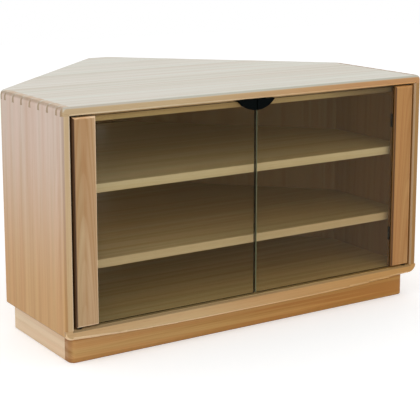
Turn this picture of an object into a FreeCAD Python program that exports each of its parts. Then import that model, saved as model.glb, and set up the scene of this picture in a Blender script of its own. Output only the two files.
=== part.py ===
"""Corner cabinet in solid ash: five-sided carcase, two shelves and a pair of glass doors on pivots.

Lengths in millimetres. X runs across the front, Y from the front to the back corner, Z up from the floor.
"""
import os
from math import asin, cos, pi, sin, sqrt

import FreeCAD
import Part

# Carcase
WIDTH = 1000.0
HEIGHT = 512.0
SIDE_DEPTH = 315.0
BACK_FLAT = 60.0
BOARD = 20.0
BASE_BOARD = 22.0
TOP_CORNER_R = 12.0
BASE_CORNER_R = 22.0
ARRIS = 8.0
OPENING_ARRIS = 4.0
BACK_ARRIS = 2.0
REBATE = 10.0

# Lip under the front edge of the base board: straight in the middle, swept up towards both ends
LIP_DROP = 9.5
LIP_DEEP = 20.0
LIP_FLAT = 300.0
BASE_TRIM = 4.0

# Dovetails between the sides and the two long boards
PIN_COUNT = 7
PIN_PITCH = 44.0
PIN_WIDE = 11.0
PIN_NARROW = 5.0
HALF_PIN_WIDE = 9.0
HALF_PIN_NARROW = 6.0
BASE_LAP = 5.0

# Cable outlets in the panel that closes the back corner
SLOT_WIDTH = 30.0
SLOT_HEIGHT = 70.0
SLOT_RISE = 24.0

# Plinth
PLINTH_HEIGHT = 61.0
PLINTH_THICK = 28.0
PLINTH_FRONT_INSET = 24.0
PLINTH_SIDE_INSET = 21.0
PLINTH_BACK_INSET = 14.0
PLINTH_CORNER_R = 15.0
PLINTH_ARRIS = 3.0

# Shelves and what carries them
SHELF_THICK = 20.0
SHELF_SETBACK = 35.0
SHELF_SIDE_CLEAR = 1.0
SHELF_CABLE_GAP = 30.0
SHELF_ARRIS = 2.0
LOWER_CLEAR = 120.0
UPPER_CLEAR = 290.0
PEG_R = 2.5
PEG_IN = 10.0
PEG_OUT = 10.0
PEG_BACK_IN = 9.0
PEG_SIDE_SHARES = (0.28, 0.82)
PEG_BACK_SHARES = (0.45,)

# Doors
DOOR_GAP_SIDE = 5.5
DOOR_GAP_TOP = 4.0
DOOR_GAP_BOTTOM = 4.0
DOOR_GAP_MIDDLE = 3.0
STILE_WIDTH = 56.0
STILE_THICK = 20.0
STILE_ARRIS = 6.5
GLASS_THICK = 6.0
GLASS_SETBACK = 7.0
GLASS_IN = 10.0
GLASS_BEVEL = 1.0
RETAINER_TALL = 34.0
RETAINER_DEEP = 6.0
RETAINER_PROUD = 2.5
RETAINER_FROM_END = 86.0

# Pivots: a pin in each end of a stile turns in a flanged bush let into the board
PIVOT_IN = 10.5
PIVOT_PIN_R = 3.0
PIVOT_FIT = 0.05
PIVOT_PIN_IN_STILE = 18.0
PIVOT_PIN_IN_BUSH = 9.5
BUSH_BORE_DEEP = 10.0
BUSH_DEEP = 12.0
BUSH_R = 4.5
FLANGE_R = 6.5
FLANGE_TOP = 2.0
THRUST_CLEAR = 0.05

# Finger pulls, strikes and the catch that holds both doors
PULL_REACH = 49.0
PULL_DROP = 24.0
PULL_PROUD = 4.0
PULL_BEVEL = 1.2
PULL_WEB = 1.5
PULL_BACK = 1.5
STRIKE_THICK = 1.0
STRIKE_TALL = 12.0
STRIKE_LONG = 28.0
STRIKE_FROM_JOINT = 6.0
STRIKE_DOWN = 3.0
MAGNET_GAP = 0.1
MAGNET_R = 5.0
MAGNET_LONG = 6.5
MAGNET_PROUD = 0.5
CATCH_LONG = 68.0
CATCH_TALL = 17.0

# Door rail under the top board
RAIL_SETBACK = 24.0
RAIL_DEEP = 20.0
RAIL_TALL = 20.0
RAIL_SHORT_OF_SIDE = 40.0

# Screws: shank radius, head radius, head height, whole length
RAIL_SCREW = (2.0, 4.0, 2.5, 32.0)
BACK_SCREW = (1.75, 3.5, 2.0, 32.0)
PLINTH_SCREW = (2.25, 4.5, 3.0, 40.0)
CATCH_SCREW = (1.5, 3.0, 1.8, 29.0)
RETAINER_SCREW = (1.2, 2.2, 1.2, 13.0)
PLINTH_POCKET_R = 5.0
PLINTH_POCKET_DEEP = 38.0
RAIL_SCREW_SHARES = (0.05, 0.3, 0.7, 0.95)
CATCH_SCREW_SHARES = (0.08, 0.92)
BACK_SCREW_SHARES = (0.08, 0.5, 0.92)
PLINTH_FRONT_SHARES = (0.12, 0.5, 0.88)
PLINTH_SIDE_SHARE = 0.6
PLINTH_BACK_SHARES = (0.25, 0.7)

# Derived places
DEPTH = SIDE_DEPTH + WIDTH / 2 - BACK_FLAT / 2
BACK_THICK = BOARD / sqrt(2)
FRONT = -DEPTH / 2
BACK = DEPTH / 2
HALF = WIDTH / 2
SIDE_INNER = HALF - BOARD
SIDE_BACK = FRONT + SIDE_DEPTH
BASE_Z = PLINTH_HEIGHT
LIP_Z = BASE_Z - LIP_DROP
FLOOR_Z = BASE_Z + BASE_BOARD
TOP_Z = BASE_Z + HEIGHT
CEILING_Z = TOP_Z - BOARD
LOWER_SHELF_Z = FLOOR_Z + LOWER_CLEAR
UPPER_SHELF_Z = FLOOR_Z + UPPER_CLEAR
DOOR_LOW = FLOOR_Z + DOOR_GAP_BOTTOM
DOOR_HIGH = CEILING_Z - DOOR_GAP_TOP
STILE_OUT = SIDE_INNER - DOOR_GAP_SIDE
STILE_IN = STILE_OUT - STILE_WIDTH
PIVOT_X = STILE_OUT - PIVOT_IN
PIVOT_Y = FRONT + STILE_THICK / 2
GLASS_FRONT = FRONT + GLASS_SETBACK
GLASS_BACK = GLASS_FRONT + GLASS_THICK
JOINT_X = DOOR_GAP_MIDDLE / 2
PULL_END = JOINT_X + PULL_REACH
PULL_R = (PULL_END ** 2 + PULL_DROP ** 2) / (2 * PULL_DROP)
PULL_FRONT = GLASS_FRONT - PULL_PROUD
STRIKE_BACK = GLASS_BACK + PULL_BACK + STRIKE_THICK
MAGNET_FRONT = STRIKE_BACK + MAGNET_GAP
RAIL_FRONT = FRONT + RAIL_SETBACK
RAIL_END = SIDE_INNER - RAIL_SHORT_OF_SIDE

X_AXIS = FreeCAD.Vector(1, 0, 0)
Y_AXIS = FreeCAD.Vector(0, 1, 0)
Z_AXIS = FreeCAD.Vector(0, 0, 1)


def vec(x, y, z):
    return FreeCAD.Vector(x, y, z)


def box(x0, x1, y0, y1, z0, z1):
    """Block between two values on each axis."""
    return Part.makeBox(x1 - x0, y1 - y0, z1 - z0, vec(x0, y0, z0))


def prism(points, z0, z1):
    """Upright block on a closed plan outline."""
    wire = Part.makePolygon([vec(x, y, z0) for x, y in points] + [vec(points[0][0], points[0][1], z0)])
    return Part.Face(wire).extrude(vec(0, 0, z1 - z0))


def mirrored(shape):
    """The same piece on the other side of the middle plane."""
    return shape.mirror(vec(0, 0, 0), X_AXIS)


def save(node, solids):
    """Writes one node as a closed solid, or as a group of separate ones."""
    solids = [piece for shape in solids for piece in shape.Solids]
    shape = solids[0] if len(solids) == 1 else Part.makeCompound(solids)
    shape.exportStep("parts/" + node + ".step")


def screw(sizes, tip_side, direction):
    """Countersunk screw whose flat head lies at tip_side and whose shank runs along direction."""
    shank_r, head_r, head_tall, length = sizes
    head = Part.makeCone(head_r, shank_r, head_tall, tip_side, direction)
    start = tip_side + direction * head_tall
    return head.fuse(Part.makeCylinder(shank_r, length - head_tall, start, direction)).removeSplitter()


def footprint(front_in, side_in, angle_in, flat_in):
    """Plan outline of the cabinet, each face moved inwards by its own distance."""
    half = HALF - side_in
    reach = HALF + SIDE_DEPTH - angle_in * sqrt(2)
    turn_y = FRONT + reach - half
    flat_y = BACK - flat_in
    flat_x = reach - (flat_y - FRONT)
    return [
        (-half, FRONT + front_in),
        (half, FRONT + front_in),
        (half, turn_y),
        (flat_x, flat_y),
        (-flat_x, flat_y),
        (-half, turn_y),
    ]


def edges_where(shape, test):
    """Edges whose two ends both pass the test."""
    return [e for e in shape.Edges if all(test(v.Point) for v in e.Vertexes) and len(e.Vertexes) == 2]


def near(a, b):
    return abs(a - b) < 1e-6


def along_y(shape, z):
    """Long edges of a block that run from front to back at one height."""
    return [
        e
        for e in edges_where(shape, lambda p: near(p.z, z))
        if near(e.Vertexes[0].Point.x, e.Vertexes[1].Point.x) and not near(e.Length, 0)
    ]


def lip_outline():
    """Front of the base board, longer by the trim at each end: flat middle, swept ends, round corners."""
    end = HALF + BASE_TRIM
    flat = LIP_FLAT / 2
    run = end - BASE_CORNER_R - flat
    rise = LIP_DROP + BASE_CORNER_R
    sweep = (rise ** 2 - BASE_CORNER_R ** 2 + run ** 2) / (2 * LIP_DROP)
    turn = asin(run / (sweep - BASE_CORNER_R))

    def swept(angle):
        return vec(flat + sweep * sin(angle), FRONT, LIP_Z + sweep * (1 - cos(angle)))

    def round_corner(angle):
        x = end - BASE_CORNER_R + BASE_CORNER_R * sin(angle)
        return vec(x, FRONT, BASE_Z + BASE_CORNER_R * (1 - cos(angle)))

    right = [
        Part.Arc(swept(0), swept(turn / 2), swept(turn)).toShape(),
        Part.Arc(swept(turn), round_corner((turn + pi / 2) / 2), round_corner(pi / 2)).toShape(),
        Part.makeLine(round_corner(pi / 2), vec(end, FRONT, FLOOR_Z + BASE_CORNER_R)),
    ]
    left = [mirrored(edge) for edge in right]
    middle = Part.makeLine(vec(-flat, FRONT, LIP_Z), vec(flat, FRONT, LIP_Z))
    over = Part.makeLine(vec(-end, FRONT, FLOOR_Z + BASE_CORNER_R), vec(end, FRONT, FLOOR_Z + BASE_CORNER_R))
    ordered = Part.__sortEdges__(right + left + [middle, over])
    return Part.Face(Part.Wire(ordered))


def base_block():
    """Base board with its lip, rounded while still over length and then trimmed to the cabinet's width."""
    end = HALF + BASE_TRIM
    over = FLOOR_Z + BASE_CORNER_R
    lip = lip_outline().extrude(Y_AXIS * LIP_DEEP)
    front_edges = [e for e in edges_where(lip, lambda p: near(p.y, FRONT)) if not near(e.Length, 2 * end)]
    lip = lip.makeFillet(ARRIS, front_edges)
    slab = box(-end, end, FRONT + LIP_DEEP, BACK, BASE_Z, over)
    slab = slab.makeFillet(BASE_CORNER_R, along_y(slab, BASE_Z))
    return lip.fuse(slab).common(box(-HALF, HALF, FRONT, BACK, LIP_Z, FLOOR_Z)).removeSplitter()


def envelope():
    """Outside of the carcase: rounded corners and front arrises, softened back arrises."""
    upper = box(-HALF, HALF, FRONT, BACK, FLOOR_Z, TOP_Z)
    upper = upper.makeFillet(TOP_CORNER_R, along_y(upper, TOP_Z))
    front_edges = [e for e in edges_where(upper, lambda p: near(p.y, FRONT)) if not near(e.Length, WIDTH)]
    upper = upper.makeFillet(ARRIS, front_edges)
    block = upper.fuse(base_block()).common(prism(footprint(0, 0, 0, 0), LIP_Z, TOP_Z)).removeSplitter()
    behind = edges_where(
        block, lambda p: (near(p.z, TOP_Z) or near(p.z, BASE_Z)) and p.y > SIDE_BACK + TOP_CORNER_R - BACK_ARRIS
    )
    return block.makeFillet(BACK_ARRIS, behind)


def cavity():
    """Room inside the carcase, open at the front, its mouth bevelled all round."""
    room = prism(footprint(0, BOARD, BACK_THICK, BOARD), FLOOR_Z, CEILING_Z)
    mouth = []
    for grow, y in ((OPENING_ARRIS, FRONT), (0, FRONT + OPENING_ARRIS)):
        x, low, high = SIDE_INNER + grow, FLOOR_Z - grow, CEILING_Z + grow
        corners = [vec(-x, y, low), vec(x, y, low), vec(x, y, high), vec(-x, y, high), vec(-x, y, low)]
        mouth.append(Part.makePolygon(corners))
    return room.fuse(Part.makeLoft(mouth, True, True))


def dovetail_pin(y_mid, narrow, wide, z_edge, z_base, lap):
    """Pin at both ends of a long board, narrow at the board's outer face, covered by a lap if there is one."""
    start = lap - HALF
    points = [
        vec(start, y_mid - narrow / 2, z_edge),
        vec(start, y_mid + narrow / 2, z_edge),
        vec(start, y_mid + wide / 2, z_base),
        vec(start, y_mid - wide / 2, z_base),
    ]
    return Part.Face(Part.makePolygon(points + points[:1])).extrude(X_AXIS * (WIDTH - 2 * lap))


def dovetail_row(z_edge, z_base, lap):
    """All pins of one long board: a half pin at each end, the front one never lapped."""
    middle = (FRONT + SIDE_BACK) / 2
    first = middle - PIN_PITCH * (PIN_COUNT - 1) / 2
    row = [dovetail_pin(first + PIN_PITCH * i, PIN_NARROW, PIN_WIDE, z_edge, z_base, lap) for i in range(PIN_COUNT)]
    for y, cover in ((FRONT, 0), (SIDE_BACK, lap)):
        row.append(dovetail_pin(y, HALF_PIN_NARROW * 2, HALF_PIN_WIDE * 2, z_edge, z_base, cover))
    return row


def side_board(shell):
    """Left side with its tails cut at both ends: right through at the top, lapped at the base."""
    board = shell.common(box(-HALF, -SIDE_INNER, FRONT, SIDE_BACK, LIP_Z, TOP_Z))
    pins = dovetail_row(TOP_Z, CEILING_Z, 0) + dovetail_row(LIP_Z, FLOOR_Z, BASE_LAP)
    return board.cut(pins)


def back_panel(outside):
    """Left angled back, let into rebates in the long boards."""
    plan = [(-HALF, SIDE_BACK), (-SIDE_INNER, SIDE_BACK), (-BACK_FLAT / 2, BACK - BOARD), (-BACK_FLAT / 2, BACK)]
    return prism(plan, FLOOR_Z - REBATE, CEILING_Z + REBATE).common(outside)


def corner_panel(outside):
    """Narrow panel across the back corner, with a cable outlet in each compartment."""
    half = BACK_FLAT / 2
    panel = box(-half, half, BACK - BOARD, BACK, FLOOR_Z - REBATE, CEILING_Z + REBATE).common(outside)
    slots = []
    for low in (FLOOR_Z, LOWER_SHELF_Z + SHELF_THICK, UPPER_SHELF_Z + SHELF_THICK):
        z0 = low + SLOT_RISE
        slot = box(-SLOT_WIDTH / 2, SLOT_WIDTH / 2, BACK - BOARD, BACK, z0, z0 + SLOT_HEIGHT)
        upright = [e for e in slot.Edges if near(abs(e.Vertexes[0].Point.y - e.Vertexes[1].Point.y), BOARD)]
        slots.append(slot.makeFillet(SLOT_WIDTH / 2 - ARRIS, upright))
    return panel.cut(slots)


def long_board(shell, z0, z1, fitted):
    """Top or base board: what the sides and back panels leave of the shell at its level."""
    return shell.common(box(-HALF, HALF, FRONT, BACK, z0, z1)).cut(fitted)


def shelf(z0):
    """Shelf following the inside of the carcase, cut short at the back corner for cables."""
    angle_in = BACK_THICK + SHELF_SIDE_CLEAR
    outline = footprint(SHELF_SETBACK, BOARD + SHELF_SIDE_CLEAR, angle_in, BOARD + SHELF_CABLE_GAP)
    board = prism(outline, z0, z0 + SHELF_THICK)
    front = [
        e
        for e in edges_where(board, lambda p: near(p.y, FRONT + SHELF_SETBACK))
        if near(e.Vertexes[0].Point.z, e.Vertexes[1].Point.z)
    ]
    return board.makeFillet(SHELF_ARRIS, front)


def shelf_pegs(z_under):
    """Steel pegs that carry one shelf: in the sides and in the angled backs."""
    z = z_under - PEG_R
    pegs = []
    for share in PEG_SIDE_SHARES:
        y = FRONT + SIDE_DEPTH * share
        pegs.append(Part.makeCylinder(PEG_R, PEG_IN + PEG_OUT, vec(-SIDE_INNER - PEG_IN, y, z), X_AXIS))
    inward = vec(1, -1, 0).normalize()
    for share in PEG_BACK_SHARES:
        x = -SIDE_INNER + (SIDE_INNER - BACK_FLAT / 2) * share
        foot = vec(x, SIDE_BACK + x + SIDE_INNER, z)
        pegs.append(Part.makeCylinder(PEG_R, PEG_BACK_IN + PEG_OUT, foot - inward * PEG_BACK_IN, inward))
    return pegs + [mirrored(p) for p in pegs]


def softened(piece, start, end):
    """Plinth piece with the arris taken off its lower edge between two plan points."""

    def on_edge(p):
        return near(p.z, 0) and any(near(p.x, x) and near(p.y, y) for x, y in (start, end))

    return piece.makeFillet(PLINTH_ARRIS, edges_where(piece, on_edge))


def plinth_pieces():
    """Plinth frame set in under the carcase: front rail over the ends of the side rails, two angled rails."""
    outer = footprint(PLINTH_FRONT_INSET, PLINTH_SIDE_INSET, PLINTH_BACK_INSET, PLINTH_BACK_INSET)
    inner = footprint(
        PLINTH_FRONT_INSET + PLINTH_THICK,
        PLINTH_SIDE_INSET + PLINTH_THICK,
        PLINTH_BACK_INSET + PLINTH_THICK,
        PLINTH_BACK_INSET + PLINTH_THICK,
    )
    shoulder = inner[0][1]
    front = box(outer[0][0], outer[1][0], outer[0][1], shoulder, 0, BASE_Z)
    upright = [e for e in edges_where(front, lambda p: near(p.y, outer[0][1])) if near(e.Length, PLINTH_HEIGHT)]
    front = front.makeFillet(PLINTH_CORNER_R, upright)
    ground = edges_where(front, lambda p: near(p.z, 0))
    ground = [e for e in ground if not all(near(v.Point.y, shoulder) for v in e.Vertexes)]
    front = front.makeFillet(PLINTH_ARRIS, ground)
    side = prism([(outer[0][0], shoulder), (inner[0][0], shoulder), inner[5], outer[5]], 0, BASE_Z)
    side = softened(side, (outer[0][0], shoulder), outer[5])
    angled = softened(prism([outer[5], inner[5], inner[4], outer[4]], 0, BASE_Z), outer[5], outer[4])
    block = softened(prism([outer[4], inner[4], inner[3], outer[3]], 0, BASE_Z), outer[4], outer[3])
    return front, side, angled, block, outer, inner


def plinth_screw_places(outer, inner):
    """Plan places of the screws that hold the plinth to the base board."""
    row_y = (outer[0][1] + inner[0][1]) / 2
    places = [(outer[0][0] + (outer[1][0] - outer[0][0]) * share, row_y) for share in PLINTH_FRONT_SHARES]
    side_x = (outer[0][0] + inner[0][0]) / 2
    side_y = inner[0][1] + (outer[5][1] - inner[0][1]) * PLINTH_SIDE_SHARE
    half = [(side_x, side_y)]
    for share in PLINTH_BACK_SHARES:
        x0, y0 = (outer[5][0] + inner[5][0]) / 2, (outer[5][1] + inner[5][1]) / 2
        x1, y1 = (outer[4][0] + inner[4][0]) / 2, (outer[4][1] + inner[4][1]) / 2
        half.append((x0 + (x1 - x0) * share, y0 + (y1 - y0) * share))
    return places + half + [(-x, y) for x, y in half]


def back_screws():
    """Screws through the back panels into the rebates of the top and base boards."""
    inward = vec(1, -1, 0).normalize()
    pieces = []
    for z in (FLOOR_Z - REBATE / 2, CEILING_Z + REBATE / 2):
        for share in BACK_SCREW_SHARES:
            run = HALF - BACK_FLAT / 2
            left = screw(BACK_SCREW, vec(-HALF + run * share, SIDE_BACK + run * share, z), inward)
            pieces += [left, mirrored(left)]
        pieces.append(screw(BACK_SCREW, vec(0, BACK, z), vec(0, -1, 0)))
    return pieces


def rail():
    """Batten under the top board, behind the doors."""
    bar = box(-RAIL_END, RAIL_END, RAIL_FRONT, RAIL_FRONT + RAIL_DEEP, CEILING_Z - RAIL_TALL, CEILING_Z)
    low = CEILING_Z - RAIL_TALL
    edge = [e for e in edges_where(bar, lambda p: near(p.y, RAIL_FRONT) and near(p.z, low))]
    return bar.makeFillet(SHELF_ARRIS, edge)


def rail_screws():
    y = RAIL_FRONT + RAIL_DEEP / 2
    xs = [-RAIL_END + 2 * RAIL_END * share for share in RAIL_SCREW_SHARES]
    return [screw(RAIL_SCREW, vec(x, y, CEILING_Z - RAIL_TALL), Z_AXIS) for x in xs]


def magnets():
    """Two round magnets facing the strikes on the doors."""
    x = JOINT_X + STRIKE_FROM_JOINT + STRIKE_LONG / 2
    z = DOOR_HIGH - STRIKE_DOWN - STRIKE_TALL / 2
    left = Part.makeCylinder(MAGNET_R, MAGNET_LONG, vec(-x, MAGNET_FRONT, z), Y_AXIS)
    return [left, mirrored(left)]


def catch_body(fitted):
    """Moulded block on the rail that holds the magnets."""
    half = CATCH_LONG / 2
    low = CEILING_Z - CATCH_TALL
    block = box(-half, half, MAGNET_FRONT + MAGNET_PROUD, RAIL_FRONT, low, CEILING_Z)
    return block.cut(fitted)


def catch_screws():
    y = (MAGNET_FRONT + MAGNET_PROUD + RAIL_FRONT) / 2
    xs = [CATCH_LONG * (share - 0.5) for share in CATCH_SCREW_SHARES]
    return [screw(CATCH_SCREW, vec(x, y, CEILING_Z - CATCH_TALL), Z_AXIS) for x in xs]


def pivot_pins():
    """Pins fixed in the two ends of the left stile."""
    low = vec(-PIVOT_X, PIVOT_Y, FLOOR_Z - PIVOT_PIN_IN_BUSH)
    high = vec(-PIVOT_X, PIVOT_Y, DOOR_HIGH - PIVOT_PIN_IN_STILE)
    low_long = PIVOT_PIN_IN_BUSH + DOOR_GAP_BOTTOM + PIVOT_PIN_IN_STILE
    high_long = PIVOT_PIN_IN_STILE + DOOR_GAP_TOP + PIVOT_PIN_IN_BUSH
    return [Part.makeCylinder(PIVOT_PIN_R, low_long, low), Part.makeCylinder(PIVOT_PIN_R, high_long, high)]


def bush(face, inwards, flange):
    """Flanged bush let into a board: inwards points into the board, flange is the collar's height."""
    body = Part.makeCylinder(BUSH_R, BUSH_DEEP, face, inwards)
    collar = Part.makeCylinder(FLANGE_R, flange, face, inwards * -1)
    bore = Part.makeCylinder(
        PIVOT_PIN_R + PIVOT_FIT, flange + BUSH_BORE_DEEP, face - inwards * flange, inwards
    )
    return body.fuse(collar).removeSplitter().cut(bore)


def pivot_bushes():
    """Bushes of the left door: the lower one's collar carries the stile."""
    lower = bush(vec(-PIVOT_X, PIVOT_Y, FLOOR_Z), vec(0, 0, -1), DOOR_GAP_BOTTOM - THRUST_CLEAR)
    upper = bush(vec(-PIVOT_X, PIVOT_Y, CEILING_Z), vec(0, 0, 1), FLANGE_TOP)
    return [lower, upper]


def bush_seats():
    """Room that the bushes of the left door take in the boards."""
    lower = Part.makeCylinder(BUSH_R, BUSH_DEEP, vec(-PIVOT_X, PIVOT_Y, FLOOR_Z), vec(0, 0, -1))
    upper = Part.makeCylinder(BUSH_R, BUSH_DEEP, vec(-PIVOT_X, PIVOT_Y, CEILING_Z))
    return [lower, upper]


def retainers():
    """Blocks on the inner face of the left stile, tight behind the glass."""
    blocks = []
    for z in (DOOR_LOW + RETAINER_FROM_END, DOOR_HIGH - RETAINER_FROM_END):
        block = box(
            -STILE_IN,
            -STILE_IN + RETAINER_PROUD,
            GLASS_BACK,
            GLASS_BACK + RETAINER_DEEP,
            z - RETAINER_TALL / 2,
            z + RETAINER_TALL / 2,
        )
        ends = [e for e in block.Edges if near(e.Length, RETAINER_DEEP) and e.Vertexes[0].Point.x > -STILE_IN]
        blocks.append(block.makeFillet(RETAINER_PROUD / 2, ends))
    return blocks


def retainer_screws():
    y = GLASS_BACK + RETAINER_DEEP / 2
    pieces = []
    for z in (DOOR_LOW + RETAINER_FROM_END, DOOR_HIGH - RETAINER_FROM_END):
        pieces.append(screw(RETAINER_SCREW, vec(-STILE_IN + RETAINER_PROUD, y, z), vec(-1, 0, 0)))
    return pieces


def stile(fitted):
    """Upright of the left door, grooved for the glass."""
    post = box(-STILE_OUT, -STILE_IN, FRONT, FRONT + STILE_THICK, DOOR_LOW, DOOR_HIGH)
    tall = DOOR_HIGH - DOOR_LOW
    soft = edges_where(post, lambda p: near(p.y, FRONT))
    soft += [
        e for e in post.Edges if near(e.Length, tall) and e.Vertexes[0].Point.x < -STILE_IN and
        e.Vertexes[0].Point.y > FRONT
    ]
    return post.makeFillet(STILE_ARRIS, soft).cut(fitted)


def glass():
    """Glass of the left door, its free upright edge bevelled on both faces."""
    pane = box(-STILE_IN - GLASS_IN, -JOINT_X, GLASS_FRONT, GLASS_BACK, DOOR_LOW, DOOR_HIGH)
    tall = DOOR_HIGH - DOOR_LOW
    free = [e for e in pane.Edges if near(e.Length, tall) and near(e.Vertexes[0].Point.x, -JOINT_X)]
    return pane.makeChamfer(GLASS_BEVEL, free)


def pull(fitted):
    """Quarter of a disc clipped over the glass at the top inner corner, bevelled on its curved edge."""
    centre = vec(0, PULL_FRONT, DOOR_HIGH - PULL_DROP + PULL_R)
    plate = Part.makeCone(PULL_R - PULL_BEVEL, PULL_R, PULL_BEVEL, centre, Y_AXIS)
    through = GLASS_BACK + PULL_BACK - PULL_FRONT - PULL_BEVEL
    plate = plate.fuse(Part.makeCylinder(PULL_R, through, centre + Y_AXIS * PULL_BEVEL, Y_AXIS))
    low, high = DOOR_HIGH - PULL_DROP, DOOR_HIGH + PULL_WEB
    window = box(-PULL_END, -JOINT_X, PULL_FRONT, GLASS_BACK + PULL_BACK, low, high)
    return plate.common(window).cut(fitted)


def strike():
    """Steel plate behind the pull for the magnet."""
    x1 = -JOINT_X - STRIKE_FROM_JOINT
    z1 = DOOR_HIGH - STRIKE_DOWN
    return box(x1 - STRIKE_LONG, x1, STRIKE_BACK - STRIKE_THICK, STRIKE_BACK, z1 - STRIKE_TALL, z1)


def build():
    """Makes every piece and writes it."""
    os.makedirs("parts", exist_ok=True)
    outside = envelope()
    shell = outside.cut(cavity())
    left_side = side_board(shell)
    left_back = back_panel(outside)
    corner = corner_panel(outside)
    panels = [left_side, mirrored(left_side), left_back, mirrored(left_back), corner.copy()]
    solid_corner = box(-BACK_FLAT / 2, BACK_FLAT / 2, BACK - BOARD, BACK, FLOOR_Z - REBATE, CEILING_Z + REBATE)
    fitted = panels[:4] + [solid_corner]
    seats = bush_seats()
    seats += [mirrored(s) for s in seats]
    rail_fix, catch_fix, back_fix = rail_screws(), catch_screws(), back_screws()
    front, side, angled, block, outer, inner = plinth_pieces()
    pockets, plinth_fix = [], []
    for x, y in plinth_screw_places(outer, inner):
        pockets.append(Part.makeCylinder(PLINTH_POCKET_R, PLINTH_POCKET_DEEP, vec(x, y, 0)))
        plinth_fix.append(screw(PLINTH_SCREW, vec(x, y, PLINTH_POCKET_DEEP), Z_AXIS))

    top = long_board(shell, CEILING_Z, TOP_Z, fitted + seats + rail_fix + catch_fix + back_fix)
    base = long_board(shell, LIP_Z, FLOOR_Z, fitted + seats + plinth_fix + back_fix)
    pegs = {"lower": shelf_pegs(LOWER_SHELF_Z), "upper": shelf_pegs(UPPER_SHELF_Z)}
    all_pegs = pegs["lower"] + pegs["upper"]
    left_side = left_side.cut(all_pegs)
    left_back = left_back.cut(all_pegs + back_fix)
    save("top_board", [top])
    save("base_board", [base])
    save("side_left", [left_side])
    save("side_right", [mirrored(left_side)])
    save("back_left", [left_back])
    save("back_right", [mirrored(left_back)])
    save("back_corner", [corner.cut(back_fix)])
    save("shelf_lower", [shelf(LOWER_SHELF_Z)])
    save("shelf_upper", [shelf(UPPER_SHELF_Z)])
    save("shelf_pegs_lower", pegs["lower"])
    save("shelf_pegs_upper", pegs["upper"])
    save("back_screws", back_fix)

    drilled = pockets + plinth_fix
    side, angled = side.cut(drilled), angled.cut(drilled)
    save("plinth_front", [front.cut(drilled)])
    save("plinth_left", [side])
    save("plinth_right", [mirrored(side)])
    save("plinth_back_left", [angled])
    save("plinth_back_right", [mirrored(angled)])
    save("plinth_corner_block", [block.cut(drilled)])
    save("plinth_screws", plinth_fix)

    held = magnets()
    save("door_rail", [rail().cut(rail_fix)])
    save("rail_screws", rail_fix)
    save("catch_body", [catch_body(held + catch_fix)])
    save("catch_magnets", held)
    save("catch_screws", catch_fix)

    pane, pins, blocks, fixings = glass(), pivot_pins(), retainers(), retainer_screws()
    post = stile([pane] + pins + fixings)
    handle, plate = pull([pane]), strike()
    held_blocks = [b.cut(fixings) for b in blocks]
    door = {
        "stile": [post],
        "glass": [pane],
        "retainers": held_blocks,
        "retainer_screws": fixings,
        "pivot_pins": pins,
        "pull": [handle],
        "strike": [plate],
        "pivot_bushes": pivot_bushes(),
    }
    for name, pieces in door.items():
        save(name + "_left", pieces)
        save(name + "_right", [mirrored(p) for p in pieces])


build()
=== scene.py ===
"""Looks of a pale ash corner cabinet with two tinted glass doors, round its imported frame. Metres, +Z up."""
import math
from collections import namedtuple

import bmesh
import bpy
import numpy as np
from mathutils import Matrix, Vector

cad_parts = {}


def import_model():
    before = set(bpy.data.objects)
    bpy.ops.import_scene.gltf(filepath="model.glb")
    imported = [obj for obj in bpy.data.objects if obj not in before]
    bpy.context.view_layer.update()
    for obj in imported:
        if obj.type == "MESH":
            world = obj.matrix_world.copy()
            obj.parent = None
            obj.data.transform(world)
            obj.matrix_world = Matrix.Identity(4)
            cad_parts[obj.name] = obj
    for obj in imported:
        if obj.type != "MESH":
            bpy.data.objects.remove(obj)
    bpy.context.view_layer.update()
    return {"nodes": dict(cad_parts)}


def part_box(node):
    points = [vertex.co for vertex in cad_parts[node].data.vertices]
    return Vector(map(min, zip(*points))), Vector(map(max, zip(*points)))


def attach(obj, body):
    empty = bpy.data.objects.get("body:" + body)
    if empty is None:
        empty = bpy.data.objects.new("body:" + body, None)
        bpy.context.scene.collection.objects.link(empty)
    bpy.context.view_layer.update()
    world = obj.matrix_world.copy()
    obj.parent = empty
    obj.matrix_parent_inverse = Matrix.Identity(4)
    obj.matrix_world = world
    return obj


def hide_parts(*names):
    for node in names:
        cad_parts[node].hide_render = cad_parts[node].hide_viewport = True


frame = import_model()
NODES = frame["nodes"]

X, Y, Z = Vector((1, 0, 0)), Vector((0, 1, 0)), Vector((0, 0, 1))
SLANT_LEFT = Vector((1, 1, 0)).normalized()
SLANT_RIGHT = Vector((1, -1, 0)).normalized()

# Camera, which looks along +Y, turned right by the yaw and down by the pitch. Radians, and a sensor in mm
CAMERA_PLACE = (-1.6341, -2.7130, 0.9668)
CAMERA_YAW = 0.5746
CAMERA_PITCH = 0.1839
FOCAL_PIXELS = 1247.0
PHOTO_PIXELS = 420.0
SENSOR = 36.0
CAMERA_SHIFT_DOWN = 0.15
CAMERA_REACH = 100.0

# Light and floor: lamps in watts. Seen directly, the floor is lifted by so much and the world is full white
FLOOR_SIZE = 12.0
FLOOR_COLOUR = (0.80, 0.80, 0.80)
FLOOR_ROUGH = 0.9
FLOOR_LIFT = 0.34
WORLD_LIGHT = 0.88
BEFORE_DIFFUSE = 0.5
LAMP_AIM = (0.0, 0.0, 0.3)
KEY_PLACE = (-2.7, -0.6, 2.6)
KEY_SIZE = 2.0
KEY_POWER = 18.0
FILL_PLACE = (-0.6, -3.4, 1.6)
FILL_SIZE = 2.2
FILL_POWER = 15.0


# Short ways to write shader nodes and objects

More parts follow.
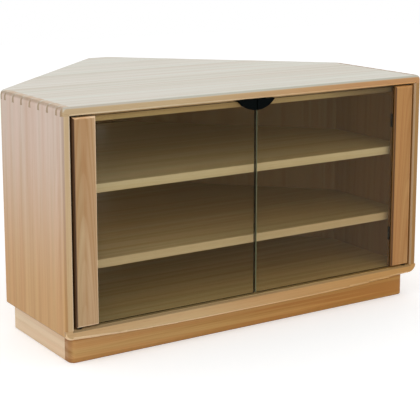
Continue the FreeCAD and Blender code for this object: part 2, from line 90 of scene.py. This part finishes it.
class Nodes:
    """Builds the node tree of a material or world: each call makes one node and gives its output."""

    def __init__(self, owner):
        self.owner = owner
        owner.use_nodes = True
        self.tree = owner.node_tree
        self.tree.nodes.clear()

    def new(self, kind):
        return self.tree.nodes.new("ShaderNode" + kind)

    def link(self, value, socket):
        if value is None:
            return
        if isinstance(value, bpy.types.NodeSocket):
            self.tree.links.new(value, socket)
        elif socket.type == "RGBA":
            socket.default_value = (*value, 1.0)[:4]
        else:
            socket.default_value = value

    def math(self, operation, a, b=None, clamp=False):
        node = self.new("Math")
        node.operation = operation
        node.use_clamp = clamp
        for value, socket in zip((a, b), node.inputs):
            self.link(value, socket)
        return node.outputs[0]

    def add(self, first, *others, clamp=False):
        """The sum of all the values; clamp keeps the last sum between 0 and 1."""
        for i, other in enumerate(others):
            first = self.math("ADD", first, other, clamp and i == len(others) - 1)
        return first

    def less(self, a, b):
        return self.math("SUBTRACT", a, b)

    def times(self, a, b):
        return self.math("MULTIPLY", a, b)

    def most(self, a, b):
        return self.math("MAXIMUM", a, b)

    def dot(self, a, b):
        node = self.new("VectorMath")
        node.operation = "DOT_PRODUCT"
        self.link(a, node.inputs[0])
        self.link(b, node.inputs[1])
        return node.outputs["Value"]

    def place(self, output="Object"):
        return self.new("TexCoord").outputs[output]

    def path(self, output):
        return self.new("LightPath").outputs[output]

    def noise(self, vector, scale=1.0, detail=2.0, roughness=0.5):
        node = self.new("TexNoise")
        self.link(vector, node.inputs["Vector"])
        node.inputs["Scale"].default_value = scale
        node.inputs["Detail"].default_value = detail
        node.inputs["Roughness"].default_value = roughness
        return node.outputs["Fac"]

    def noise_at(self, x, y, z, **more):
        node = self.new("CombineXYZ")
        for value, socket in zip((x, y, z), node.inputs):
            self.link(value, socket)
        return self.noise(node.outputs[0], **more)

    def chance(self, value):
        """A random number from 0 to 1 that depends on the value alone."""
        node = self.new("TexWhiteNoise")
        node.noise_dimensions = "1D"
        self.link(value, node.inputs["W"])
        return node.outputs["Value"]

    def span(self, value, low, high, to_low=0.0, to_high=1.0, smooth=True):
        """Turns the range from low to high into to_low to to_high, and stays within it."""
        node = self.new("MapRange")
        node.interpolation_type = "SMOOTHSTEP" if smooth else "LINEAR"
        for name, end in (("From Min", low), ("From Max", high), ("To Min", to_low), ("To Max", to_high)):
            node.inputs[name].default_value = end
        self.link(value, node.inputs["Value"])
        return node.outputs[0]

    def fall(self, value, low, high):
        return self.span(value, low, high, 1.0, 0.0)

    def mix(self, share, a, b, kind="MIX"):
        node = self.new("Mix")
        node.data_type = "RGBA"
        node.blend_type = kind
        self.link(share, node.inputs[0])
        self.link(a, node.inputs[6])
        self.link(b, node.inputs[7])
        return node.outputs[2]

    def tint(self, share, colour, by):
        return self.mix(share, colour, by, "MULTIPLY")

    def bump(self, height, strength, distance):
        node = self.new("Bump")
        node.inputs["Strength"].default_value = strength
        node.inputs["Distance"].default_value = distance
        self.link(height, node.inputs["Height"])
        return node.outputs[0]

    def principled(self, **inputs):
        node = self.new("BsdfPrincipled")
        for name, value in inputs.items():
            self.link(value, node.inputs[name.replace("_", " ")])
        return node.outputs[0]

    def finish(self, shader, output="OutputMaterial"):
        self.link(shader, self.new(output).inputs["Surface"])
        return self.owner


def material_nodes(name):
    return Nodes(bpy.data.materials.new(name))


def give(thing, *materials):
    thing.data.materials.clear()
    for material in materials:
        thing.data.materials.append(material)


def put(name, data):
    """Puts a new object with this data into the scene."""
    thing = bpy.data.objects.new(name, data)
    bpy.context.scene.collection.objects.link(thing)
    return thing


# Ash in staves. The steps keep apart the numbers that boards, planks and chances are drawn from
STAVE = 0.092
SINGLE = 1.5
STAVE_SHIFT = 0.37
BOARD_STEP = 3.7
PLANK_STEP = 17.0
CHANCE_STEP = 40.0
SEAM = 0.0005
SEAM_SHARE = 0.5

# Growth rings round a pith that wanders, with early wood that rises and falls within each and stronger years
RING = 0.0034
EARLY_RISE = (0.0, 0.12)
EARLY_FALL = (0.25, 0.7)
WANDER_ALONG = 2.0
WANDER_OVER = 5.0
WANDER_SIZE = 0.016
SIDE_STEP = 0.05
LEAN_LEAST = 0.4
YEARS_IN_RADIUS = 130.0
YEARS_IN_PLANK = 9.0
YEARS_ALONG = 0.4
YEARS = (0.42, 0.66)

# Figure drawn out along the grain: noise scales along, over and through the staves, and the noise from which
# each begins to show and shows in full
STREAK_SCALES = (1.1, 62.0, 20.0)
STREAK_DETAIL = 2.5
STREAK_ROUGHNESS = 0.55
STREAKS = (0.40, 0.66)
PORE_SCALES = (26.0, 1100.0, 1100.0)
PORES = (0.56, 0.70)
LATE_PORES = 0.35
HUE_ALONG = 1.4
HUE_OVER = 34.0
HUE_STEP = 6.0
HUES = (0.38, 0.62)

# How much early wood, each plank's own tone and pores add to the figure
EARLY_SHARE = 0.35
PLANK_SHARE = 0.5
PORE_SHARE = 0.35

# End grain: the rings seen across and the vessels as dots. On upright boards the flat ends stay paler than
# the
# rounded arrises: painted sheen on their tops
END_TONE = 0.55
END_RINGS = 0.3
END_DOTS = 0.3
DOT_SCALE = 1300.0
DOTS = (0.5, 0.7)
SHEEN_END_DARKNESS = 0.25

# Cosines between which a face comes to count as flat, an edge, a rounded edge, an end, a dark end or a flat
# end that keeps a painted sheen, and as next to the outward side, turned to it or turned away
FLAT = (0.80, 0.98)
EDGE = (0.82, 0.99)
ROUNDED_EDGE = (0.05, 0.4)
END = (0.35, 0.85)
DARK_END = (0.45, 0.9)
SHEEN_END = (0.8, 0.99)
NEAR = (0.45, 0.70)
OUTER = (0.05, 0.15)
INNER = (-0.15, -0.05)

# Tints
WHITE = (1.0, 1.0, 1.0)
DARKER = (0.74, 0.60, 0.44)
END_DARK = (0.52, 0.42, 0.33)
# Painted shade and painted highlight, laid on arrises as light falls on them or not
PAINTED_ARRIS_SHADE = (0.11, 0.055, 0.02)
PAINTED_ARRIS_HIGHLIGHT = (1.80, 2.05, 2.55)
BLUSH_WARM = (1.04, 0.96, 0.93)
BLUSH_COOL = (0.98, 1.02, 1.00)

# Surface
ROUGH = 0.40
ROUGH_FIGURE = 0.12
EARLY_DEEP = 0.3
RELIEF = 0.3
RELIEF_DEEP = 0.00025
COAT_ROUGH = 0.3

# A board: its look, the axes along the grain and across the staves, the width of a stave, the seed of its
# figure, how far the rings' pith leans and how far (over, under) the plank it lies, and its outward side
Board = namedtuple("Board", "look along across stave seed lean pith outward", defaults=(None,))

# Its look: the colours of faces and edges, in pairs for the two ends of the grain; the strength of streaks,
# rings, blush and dark ends; how much painted shade, or painted highlight below zero, the arrises get next to
# the outward side, further round it, level with it and beyond; shine and coat; where on the grain, from -1 to
# 1, the colour starts to change; how much of the faces' colour end grain takes; and the painted shade that
# tints the outward side
Look = namedtuple(
    "Look",
    "faces edges streaks rings blush ends arrises shine coat drift_from end_as_face shade",
    defaults=((0.0, 0.0, 0.0, 0.0), 0.3, 0.0, -1.0, 0.0, WHITE),
)


class Ash(Nodes):
    """The material of one board."""

    def __init__(self, node, board):
        super().__init__(bpy.data.materials.new("ash_" + node))
        self.board, self.look = board, board.look
        self.axes = board.along, board.across, board.along.cross(board.across)
        self.staved = board.stave < SINGLE
        self.measure(node)
        self.saw()
        self.grow()
        self.draw()
        self.turn()

    def measure(self, node):
        """Lays w along the grain, u over the staves and v through them, from the board's middle."""
        low, high = (Vector(corner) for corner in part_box(node))
        middle = (low + high) / 2
        place = self.place()
        self.w, self.u, self.v = (self.less(self.dot(place, axis), middle.dot(axis)) for axis in self.axes)
        self.reach = (high - low).dot(Vector([abs(c) for c in self.board.along])) / 2
        self.far = self.add(self.w, BOARD_STEP * self.board.seed)

    def saw(self):
        """Staves, each from its own plank, and three chances for each plank."""
        shift = STAVE_SHIFT * (self.board.seed % 3) if self.staved else 0.0
        at = self.add(self.math("DIVIDE", self.u, self.board.stave), 0.5 + shift)
        number = self.add(self.math("FLOOR", at), 0.5 + PLANK_STEP * self.board.seed)
        self.in_stave = self.less(self.math("FRACT", at), 0.5)
        self.chances = [self.chance(self.add(number, CHANCE_STEP * i)) for i in range(3)]

    def grow(self):
        """Growth rings round a pith outside the plank, which leans and wanders a little."""
        first, second, third = self.chances
        pith_over, pith_under = self.board.pith
        wander = self.noise_at(self.times(self.far, WANDER_ALONG), self.times(self.u, WANDER_OVER), third)
        wander = self.times(self.add(wander, -0.5), WANDER_SIZE)
        step = self.span(first, 0.0, 1.0, -SIDE_STEP, SIDE_STEP, smooth=False) if self.staved else 0.0
        slope = self.span(second, 0.0, 1.0, LEAN_LEAST * self.board.lean, self.board.lean, smooth=False)
        over = self.add(self.times(self.in_stave, self.board.stave), pith_over, step)
        under = self.add(self.v, pith_under, self.times(self.w, slope), wander)
        radius = self.math("SQRT", self.add(self.math("POWER", over, 2.0), self.math("POWER", under, 2.0)))
        in_ring = self.math("FRACT", self.math("DIVIDE", radius, RING))
        self.early = self.times(self.span(in_ring, *EARLY_RISE), self.fall(in_ring, *EARLY_FALL))
        scaled = (radius, YEARS_IN_RADIUS), (third, YEARS_IN_PLANK), (self.far, YEARS_ALONG)
        self.years = self.span(self.noise_at(*(self.times(*pair) for pair in scaled)), *YEARS)

    def draw(self):
        """Streaks, pores and blush that follow the grain, and the tone that the figure adds up to."""
        first, second, _ = self.chances
        streaks = self.drawn_out(STREAK_SCALES, detail=STREAK_DETAIL, roughness=STREAK_ROUGHNESS)
        strength = self.add(LATE_PORES, self.times(self.early, 1.0 - LATE_PORES))
        self.pores = self.times(self.span(self.drawn_out(PORE_SCALES), *PORES), strength)
        hue = self.add(second, HUE_STEP)
        hue = self.noise_at(self.times(self.far, HUE_ALONG), self.times(self.u, HUE_OVER), hue)
        self.blush = self.mix(self.span(hue, *HUES), BLUSH_WARM, BLUSH_COOL)
        rings = self.add(self.times(self.early, EARLY_SHARE), self.times(self.years, 1.0 - EARLY_SHARE))
        self.tone = self.add(
            self.times(rings, self.look.rings),
            self.times(self.span(streaks, *STREAKS), self.look.streaks),
            self.times(self.add(first, -0.5), PLANK_SHARE * self.look.streaks),
            self.times(self.pores, PORE_SHARE),
            clamp=True,
        )

    def drawn_out(self, scales, **more):
        return self.noise_at(*(self.times(*pair) for pair in zip((self.far, self.u, self.v), scales)), **more)

    def turn(self):
        """How far a face is turned to the ends, the edges and the outward side, and if it is an arris."""
        normal = self.place("Normal")
        cosines = [self.math("ABSOLUTE", self.dot(normal, axis)) for axis in self.axes]
        self.to_end, self.to_edge, to_face = cosines
        self.arris = self.fall(self.most(self.to_end, self.most(self.to_edge, to_face)), *FLAT)
        out = self.dot(normal, self.board.outward) if self.board.outward else 0.0
        self.near, self.outer = self.span(out, *NEAR), self.span(out, *OUTER)
        self.inner = self.fall(out, *INNER)

    def plain(self):
        """The colours of faces and edges, which change from one end of the grain to the other."""
        drift = self.span(self.w, self.reach * self.look.drift_from, self.reach)
        faces, edges = (self.mix(drift, *pair) for pair in (self.look.faces, self.look.edges))
        rounded = self.times(self.span(self.to_edge, *ROUNDED_EDGE), self.less(1.0, self.outer))
        end = self.times(self.span(self.to_end, *END), 1.0 - self.look.end_as_face)
        as_edge = self.most(self.most(self.span(self.to_edge, *EDGE), rounded), end)
        return self.mix(as_edge, faces, edges)

    def paint_light_and_shade(self, colour):
        """Paints shade and highlights on the arrises, and then painted shade on the outward side."""
        further = self.less(self.outer, self.near)
        level = self.less(self.less(1.0, self.outer), self.inner)
        for share, strength in zip((self.near, further, level, self.inner), self.look.arrises):
            by = PAINTED_ARRIS_SHADE if strength > 0 else PAINTED_ARRIS_HIGHLIGHT
            colour = self.tint(self.times(self.times(self.arris, share), abs(strength)), colour, by)
        return self.tint(self.times(self.near, self.less(1.0, self.arris)), colour, self.look.shade)

    def figured(self, colour):
        """Adds the blush, the figure and the seams between staves."""
        colour = self.tint(self.look.blush, colour, self.blush)
        colour = self.tint(self.tone, colour, DARKER)
        seam = self.span(self.math("ABSOLUTE", self.in_stave), 0.5 - SEAM / self.board.stave, 0.5)
        return self.tint(self.times(seam, SEAM_SHARE), colour, DARKER)

    def ended(self, colour):
        """Darkens the end grain, less on the flat ends of upright boards, which keep a painted sheen."""
        dots = self.noise_at(self.times(self.u, DOT_SCALE), self.times(self.v, DOT_SCALE), 0.0)
        dots = self.span(dots, *DOTS, 0.0, END_DOTS)
        cut = self.add(END_TONE, self.times(self.early, END_RINGS), dots, clamp=True)
        share = self.times(self.span(self.to_end, *DARK_END), self.look.ends)
        if self.board.along == Z:
            share = self.times(share, self.span(self.to_end, *SHEEN_END, 1.0, SHEEN_END_DARKNESS))
        return self.tint(share, colour, self.mix(cut, WHITE, END_DARK))

    def material(self):
        """Joins it all up. Early wood and pores lie a little lower."""
        colour = self.plain()
        if self.board.outward:
            colour = self.paint_light_and_shade(colour)
        relief = self.less(self.times(self.early, -EARLY_DEEP), self.pores)
        return self.finish(self.principled(
            Base_Color=self.ended(self.figured(colour)),
            Roughness=self.add(ROUGH, self.times(self.tone, ROUGH_FIGURE)),
            Normal=self.bump(relief, RELIEF, RELIEF_DEEP),
            Specular_IOR_Level=self.look.shine,
            Coat_Weight=self.look.coat,
            Coat_Roughness=COAT_ROUGH,
        ))


def even(start, end, **more):
    """A look whose edges have the colours of its faces."""
    return Look(faces=(start, end), edges=(start, end), **more)


# The top's faces are paler and greyer than its edges: painted sheen, on top of the coat's own reflection
TOP = Look(
    faces=((0.56, 0.54, 0.46), (0.56, 0.54, 0.45)),
    edges=((0.49, 0.375, 0.21), (0.50, 0.245, 0.08)),
    streaks=0.35, rings=0.25, blush=0.5, ends=1.0,
    arrises=(0.25, 0.1, 0.0, -0.85), coat=0.5,
)
BASE = Look(
    faces=((0.67, 0.53, 0.295), (0.70, 0.46, 0.17)),
    edges=((0.60, 0.42, 0.23), (0.49, 0.27, 0.08)),
    streaks=0.45, rings=0.22, blush=0.5, ends=0.4,
    arrises=(0.6, 0.25, 0.0, -0.8),
)
# The left side's faces turn paler and greyer towards the top: painted sheen where light falls from above
SIDE_LEFT = Look(
    faces=((0.55, 0.32, 0.125), (0.60, 0.48, 0.41)),
    edges=((0.55, 0.395, 0.215), (0.54, 0.41, 0.245)),
    streaks=0.32, rings=0.28, blush=0.4, ends=0.05,
    arrises=(0.3, 0.45, -0.1, -0.65), drift_from=-0.85, end_as_face=0.45,
)
SIDE_RIGHT = Look(
    faces=((0.64, 0.44, 0.24), (0.65, 0.46, 0.27)),
    edges=((0.34, 0.175, 0.045), (0.35, 0.19, 0.055)),
    streaks=0.32, rings=0.28, blush=0.4, ends=1.0,
    arrises=(0.35, 0.35, 0.0, -0.4), shade=(0.65, 0.47, 0.25),
)
BACK = even(
    (0.62, 0.49, 0.36), (0.60, 0.45, 0.33),
    streaks=0.35, rings=0.3, blush=0.4, ends=0.8, shine=0.05,
)
# Back panels that lie in shade: their side turned into the cabinet takes a painted shade, darker and browner
BACK_PAINTED_SHADE = even(
    (0.62, 0.45, 0.28), (0.60, 0.44, 0.28),
    streaks=0.35, rings=0.3, blush=0.4, ends=0.8, shine=0.05, shade=(0.59, 0.47, 0.36),
)
# Wood colours with painted light: the faces darken towards the right end, which lies in shade, and the upper
# shelf is paler than the lower, where more light reaches
SHELF_UPPER = Look(
    faces=((0.88, 0.71, 0.47), (0.67, 0.46, 0.21)),
    edges=((0.93, 0.77, 0.56), (0.90, 0.72, 0.48)),
    streaks=0.3, rings=0.25, blush=0.4, ends=0.7, shine=0.05,
)
SHELF_LOWER = Look(
    faces=((0.79, 0.63, 0.40), (0.49, 0.33, 0.13)),
    edges=((0.81, 0.60, 0.40), (0.78, 0.56, 0.34)),
    streaks=0.3, rings=0.25, blush=0.4, ends=0.7, shine=0.05,
)
# The rail darkens over its right part: a painted shadow where the inside of the cabinet lies in shade
RAIL = even(
    (0.65, 0.435, 0.21), (0.20, 0.115, 0.045),
    streaks=0.5, rings=0.3, blush=0.4, ends=0.7, drift_from=0.25,
)
# The stiles: painted shade on the outer side and its arrises in the gaps, and painted highlights on the other
# arrises
STILE_LEFT = even(
    (0.50, 0.35, 0.20), (0.48, 0.32, 0.17),
    streaks=0.35, rings=0.75, blush=0.5, ends=0.1,
    arrises=(1.0, 0.95, -1.0, -1.0), shade=(0.20, 0.15, 0.12),
)
STILE_RIGHT = even(
    (0.45, 0.23, 0.075), (0.45, 0.23, 0.07),
    streaks=0.3, rings=0.6, blush=0.4, ends=0.5,
    arrises=(0.9, 0.45, -0.3, -0.5), shade=(0.56, 0.53, 0.51),
)
PLINTH = Look(
    faces=((0.56, 0.34, 0.13), (0.53, 0.29, 0.07)),
    edges=((0.47, 0.27, 0.11), (0.44, 0.23, 0.06)),
    streaks=1.3, rings=0.35, blush=0.8, ends=0.1,
)
PLINTH_SIDE = even(
    (0.80, 0.62, 0.43), (0.80, 0.62, 0.43),
    streaks=0.5, rings=0.4, blush=0.5, ends=0.6,
)

# look, along, across, stave, seed, lean, pith, outward side
BOARDS = {
    "top_board": (TOP, X, Y, STAVE, 1, 0.012, (0.05, 0.07), Z),
    "base_board": (BASE, X, Y, STAVE, 2, 0.012, (0.05, 0.06), Z),
    "side_left": (SIDE_LEFT, Z, Y, STAVE, 3, 0.03, (0.05, 0.06), -X),
    "side_right": (SIDE_RIGHT, Z, Y, STAVE, 4, 0.03, (0.05, 0.06), -X),
    "back_left": (BACK, Z, SLANT_LEFT, STAVE, 5, 0.03, (0.04, 0.05)),
    "back_right": (BACK_PAINTED_SHADE, Z, SLANT_RIGHT, STAVE, 6, 0.03, (0.04, 0.05), -SLANT_LEFT),
    "back_corner": (BACK_PAINTED_SHADE, Z, X, SINGLE, 7, 0.03, (0.02, 0.05), -Y),
    "shelf_lower": (SHELF_LOWER, X, Y, STAVE, 8, 0.012, (0.05, 0.06)),
    "shelf_upper": (SHELF_UPPER, X, Y, STAVE, 9, 0.012, (0.05, 0.06)),
    "door_rail": (RAIL, X, Z, SINGLE, 10, 0.01, (0.05, 0.04)),
    "plinth_front": (PLINTH, X, Z, SINGLE, 11, 0.012, (0.045, 0.03)),
    "plinth_left": (PLINTH_SIDE, Y, Z, SINGLE, 12, 0.02, (0.045, 0.03)),
    "plinth_right": (PLINTH_SIDE, Y, Z, SINGLE, 13, 0.02, (0.045, 0.03)),
    "plinth_back_left": (PLINTH_SIDE, SLANT_LEFT, Z, SINGLE, 14, 0.02, (0.045, 0.03)),
    "plinth_back_right": (PLINTH_SIDE, SLANT_RIGHT, Z, SINGLE, 15, 0.02, (0.045, 0.03)),
    "plinth_corner_block": (PLINTH_SIDE, Z, X, SINGLE, 16, 0.02, (0.02, 0.05)),
    "stile_left": (STILE_LEFT, Z, X, SINGLE, 17, 0.06, (0.006, 0.045), -X),
    "stile_right": (STILE_RIGHT, Z, X, SINGLE, 18, 0.05, (-0.02, 0.045), -X),
}

for node, row in BOARDS.items():
    give(NODES[node], Ash(node, Board(*row)).material())


# Metal, plastic and glass

SPECKLE_SCALE = 900.0
SPECKLE_DETAIL = 3.0
SPECKLE_ROUGHNESS = 0.55
SPECKLE_DEEP = 0.0001
DRIFT_SCALE = 22.0
DRIFT_SHARE = 0.1


def grained(name, colour, rough, metal=0.0, spread=0.12, relief=0.05, **more):
    """A moulded or turned finish: a fine speckle in colour and relief and a broad drift in roughness."""
    n = material_nodes(name)
    speckle = n.noise(n.place(), SPECKLE_SCALE, SPECKLE_DETAIL, SPECKLE_ROUGHNESS)
    drift = n.noise(n.place(), DRIFT_SCALE)
    dark, pale = (tuple(min(1.0, c * share) for c in colour) for share in (1 - spread, 1 + spread))
    return n.finish(n.principled(
        Base_Color=n.mix(speckle, dark, pale),
        Roughness=n.add(rough, n.times(n.add(drift, -0.5), DRIFT_SHARE)),
        Metallic=metal,
        Normal=n.bump(speckle, relief, SPECKLE_DEEP),
        **more,
    ))


def tinted_glass(name, colour, lamp_colour, reflection):
    """Glass that lets lamps through tinted; reflection is the colour of its mirror image seen straight on."""
    n = material_nodes(name)
    body = n.principled(
        Base_Color=colour, Roughness=0.0, IOR=1.5, Transmission_Weight=1.0, Specular_Tint=reflection
    )
    clear = n.new("BsdfTransparent")
    n.link(lamp_colour, clear.inputs["Color"])
    mixer = n.new("MixShader")
    for value, socket in zip((n.path("Is Shadow Ray"), body, clear.outputs[0]), mixer.inputs):
        n.link(value, socket)
    return n.finish(mixer.outputs[0])


def painted_glow_edge(name, colour, glow, low, high):
    """Polished edge with a painted glow that stands in for light led through the glass; low and high give the
    (height, strength) of the glow.
    """
    n = material_nodes(name)
    strength = n.span(n.dot(n.place(), Z), low[0], high[0], low[1], high[1], smooth=False)
    return n.finish(n.principled(
        Base_Color=colour, Roughness=0.2, Emission_Color=glow, Emission_Strength=strength
    ))


BLACK_GLOSS = grained("black_gloss", (0.0015, 0.0025, 0.0025), 0.16, spread=0.2, Specular_IOR_Level=0.02)
BLACK_MATT = grained("black_matt", (0.018, 0.013, 0.008), 0.6, spread=0.2, Specular_IOR_Level=0.05)
STEEL = grained("steel_plated", (0.58, 0.57, 0.55), 0.30, metal=1.0)
BURNISHED = grained("steel_burnished", (0.09, 0.07, 0.055), 0.4, metal=1.0)
GLASS = tinted_glass("glass_tinted", (0.86, 0.86, 0.77), (0.80, 0.80, 0.71), (0.22, 0.16, 0.07))
# Near-black opaque edges: partly the glass's own tint seen edge on and partly painted shade of the gaps round
# the panes
GLASS_EDGE = grained("glass_edge", (0.013, 0.011, 0.005), 0.2, relief=0.02, Specular_IOR_Level=0.1)
# A painted glow: the right pane's free arris gives off light, stronger low down, in place of light led
# through
GLASS_EDGE_PAINTED_GLOW = painted_glow_edge(
    "glass_edge_painted_glow", (0.07, 0.085, 0.045), (0.080, 0.078, 0.036), low=(0.1, 1.7), high=(0.5, 0.8)
)

# Finishes by the start of a node's name; other fittings are of plated steel
FINISHES = {
    "pull_": BLACK_GLOSS,
    "retainers_": BLACK_MATT,
    "catch_body": BLACK_MATT,
    "pivot_bushes_": BLACK_MATT,
    "pivot_pins_": BURNISHED,
}
for node, thing in NODES.items():
    if node not in BOARDS:
        give(thing, next((made for start, made in FINISHES.items() if node.startswith(start)), STEEL))


# Glass panes with polished, softened edges

PANE_ARRIS = 0.0006
SAME_PLACE = 1e-6
COPLANAR = 0.01
SHARP = 0.5
SHEET_FACING = 0.99
GLOW_FACING = (-0.97, -0.3)


def welded(mesh):
    """A bmesh of the mesh with vertices in the same place made one."""
    shape = bmesh.new()
    shape.from_mesh(mesh)
    bmesh.ops.remove_doubles(shape, verts=shape.verts, dist=SAME_PLACE)
    return shape


def pane_slot(side, normal):
    """The slot of a pane's face: 0 the sheet, 1 its polished edges, 2 the arris with a painted glow."""
    if abs(normal.y) > SHEET_FACING:
        return 0
    glows = side == "right" and normal.y < 0 and GLOW_FACING[0] < normal.x < GLOW_FACING[1]
    return 2 if glows else 1


def pane(side):
    """Stands for one pane: the CAD glass with every sharp edge softened."""
    node = "glass_" + side
    mesh = NODES[node].data.copy()
    piece = put("pane_" + side, mesh)
    give(piece, GLASS, GLASS_EDGE, GLASS_EDGE_PAINTED_GLOW)
    shape = welded(mesh)
    bmesh.ops.dissolve_limit(shape, angle_limit=COPLANAR, verts=shape.verts, edges=shape.edges)
    sharp = [edge for edge in shape.edges if len(edge.link_faces) == 2 and edge.calc_face_angle() > SHARP]
    bmesh.ops.bevel(shape, geom=sharp, offset=PANE_ARRIS, segments=2, profile=0.5, affect="EDGES")
    shape.normal_update()
    for face in shape.faces:
        face.material_index = pane_slot(side, face.normal)
        face.smooth = False
    shape.to_mesh(mesh)
    shape.free()
    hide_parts(node)
    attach(piece, "door_" + side)


# Screws with cross recesses: sizes as shares of the head's radius. Each is turned further than the last

RECESS_SPAN = 1.15
RECESS_WIDE = 0.26
RECESS_DEEP = 0.75
RECESS_TAPER = 0.35
RIM = 0.08
SCREW_STEPS = 28
SCREW_TURN = 0.9
TIP = 1e-5


def islands(mesh):
    """Vertex places of each separate solid of a mesh."""
    shape = welded(mesh)
    seen, groups = set(), []
    for first in shape.verts:
        if first in seen:
            continue
        group, stack = [], [first]
        seen.add(first)
        while stack:
            vert = stack.pop()
            group.append(tuple(vert.co))
            for edge in vert.link_edges:
                other = edge.other_vert(vert)
                if other not in seen:
                    seen.add(other)
                    stack.append(other)
        groups.append(np.array(group))
    shape.free()
    return groups


def screw_facts(points):
    """Head centre, direction from head to tip, head radius, shank radius and length of one screw."""
    centre = points.mean(axis=0)
    axis = np.linalg.svd(points - centre)[2][0]
    along = (points - centre) @ axis
    radius = np.linalg.norm(points - centre - np.outer(along, axis), axis=1)
    head_high = radius[along > along.max() - TIP].max()
    head_low = radius[along < along.min() + TIP].max()
    if head_high > head_low:
        axis, along = -axis, -along
    head = centre + axis * along.min()
    return head, axis, max(head_high, head_low), min(head_high, head_low), float(np.ptp(along))


def made_mesh(name, shape):
    """A new mesh of the bmesh, which is freed."""
    mesh = bpy.data.meshes.new(name)
    shape.to_mesh(mesh)
    shape.free()
    return mesh


def screw_blank(head_r, shank_r, length):
    """One countersunk screw on +Z with a rim, its head's face at the origin."""
    rim = head_r * RIM
    neck = rim + (head_r - shank_r)
    profile = [(0, 0), (head_r, 0), (head_r, rim), (shank_r, neck), (shank_r, length - shank_r), (0, length)]
    shape = bmesh.new()
    verts = [shape.verts.new((r, 0, z)) for r, z in profile]
    edges = [shape.edges.new(pair) for pair in zip(verts, verts[1:])]
    bmesh.ops.spin(shape, geom=verts + edges, axis=Z, cent=(0, 0, 0), steps=SCREW_STEPS, angle=math.tau)
    bmesh.ops.remove_doubles(shape, verts=shape.verts, dist=SAME_PLACE)
    bmesh.ops.recalc_face_normals(shape, faces=shape.faces)
    return made_mesh("screw", shape)


def recess_cross(head_r):
    """Two crossed arms that narrow downwards, to be cut out of a head."""
    shape = bmesh.new()
    for crossed in (False, True):
        for vert in bmesh.ops.create_cube(shape, size=1.0)["verts"]:
            deep = vert.co.z > 0
            size = head_r * (RECESS_TAPER if deep else 1.0)
            x, y = vert.co.x * size * RECESS_SPAN, vert.co.y * size * RECESS_WIDE
            z = head_r * (RECESS_DEEP if deep else -RIM)
            vert.co = (y, x, z) if crossed else (x, y, z)
    return made_mesh("recess", shape)


def screw_template(head_r, shank_r, length):
    """The mesh of one screw with the cross cut out of its head."""
    meshes = screw_blank(head_r, shank_r, length), recess_cross(head_r)
    screw, cross = put("screw", meshes[0]), put("recess", meshes[1])
    cut = screw.modifiers.new("recess", "BOOLEAN")
    cut.operation = "DIFFERENCE"
    cut.solver = "EXACT"
    cut.use_self = True
    cut.object = cross
    bpy.context.view_layer.update()
    made = bpy.data.meshes.new_from_object(screw.evaluated_get(bpy.context.evaluated_depsgraph_get()))
    for thing, mesh in zip((screw, cross), meshes):
        bpy.data.objects.remove(thing)
        bpy.data.meshes.remove(mesh)
    return made


def screws(node, body, finish):
    """Stands for a node's screws: the same places and sizes, with recessed heads."""
    facts = [screw_facts(points) for points in islands(NODES[node].data)]
    template = screw_template(*facts[0][2:])
    shape = bmesh.new()
    for i, (head, axis, *_) in enumerate(facts):
        start = len(shape.verts)
        shape.from_mesh(template)
        shape.verts.ensure_lookup_table()
        turn = Vector(axis).to_track_quat("Z", "Y").to_matrix() @ Matrix.Rotation(SCREW_TURN * i, 3, "Z")
        for vert in shape.verts[start:]:
            vert.co = turn @ vert.co + Vector(head)
    bpy.data.meshes.remove(template)
    piece = put(node + "_dressed", made_mesh(node + "_dressed", shape))
    give(piece, finish)
    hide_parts(node)
    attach(piece, body)


for side in ("left", "right"):
    pane(side)
    screws("retainer_screws_" + side, "door_" + side, BURNISHED)
for node in ("back_screws", "plinth_screws", "rail_screws", "catch_screws"):
    screws(node, "cabinet", STEEL)


# Floor, light and camera

def seen_directly(n):
    """1 for the camera and for what it sees in gloss or through glass, before any diffuse bounce."""
    seen = n.most(n.most(n.path("Is Camera Ray"), n.path("Is Transmission Ray")), n.path("Is Glossy Ray"))
    return n.times(seen, n.math("LESS_THAN", n.path("Diffuse Depth"), BEFORE_DIFFUSE))


def floor():
    half = FLOOR_SIZE / 2
    mesh = bpy.data.meshes.new("floor")
    corners = [(-half, -half, 0), (half, -half, 0), (half, half, 0), (-half, half, 0)]
    mesh.from_pydata(corners, [], [(0, 1, 2, 3)])
    thing = put("floor", mesh)
    n = material_nodes("floor_plain")
    ground = n.principled(Base_Color=FLOOR_COLOUR, Roughness=FLOOR_ROUGH, Specular_IOR_Level=0.0)
    lift = n.new("Emission")
    n.link(n.times(seen_directly(n), FLOOR_LIFT), lift.inputs["Strength"])
    both = n.new("AddShader")
    n.link(ground, both.inputs[0])
    n.link(lift.outputs[0], both.inputs[1])
    give(thing, n.finish(both.outputs[0]))


def world():
    made = bpy.data.worlds.new("studio")
    bpy.context.scene.world = made
    n = Nodes(made)
    background = n.new("Background")
    n.link(WHITE, background.inputs["Color"])
    strength = n.add(WORLD_LIGHT, n.times(seen_directly(n), 1 - WORLD_LIGHT))
    n.link(strength, background.inputs["Strength"])
    n.finish(background.outputs[0], "OutputWorld")


def lamp(name, place, size, power):
    data = bpy.data.lights.new(name, "AREA")
    data.size = size
    data.energy = power
    thing = put(name, data)
    thing.location = place
    thing.rotation_euler = (Vector(LAMP_AIM) - Vector(place)).to_track_quat("-Z", "Y").to_euler()


def camera():
    data = bpy.data.cameras.new("camera")
    data.sensor_width = SENSOR
    data.sensor_height = SENSOR
    data.lens = SENSOR * FOCAL_PIXELS / PHOTO_PIXELS
    data.shift_y = -CAMERA_SHIFT_DOWN
    data.clip_end = CAMERA_REACH
    thing = put("camera", data)
    thing.location = CAMERA_PLACE
    thing.rotation_euler = (math.pi / 2 - CAMERA_PITCH, 0.0, -CAMERA_YAW)
    bpy.context.scene.camera = thing


floor()
world()
lamp("key", KEY_PLACE, KEY_SIZE, KEY_POWER)
lamp("fill", FILL_PLACE, FILL_SIZE, FILL_POWER)
camera()

bpy.context.scene.view_settings.view_transform = "Standard"
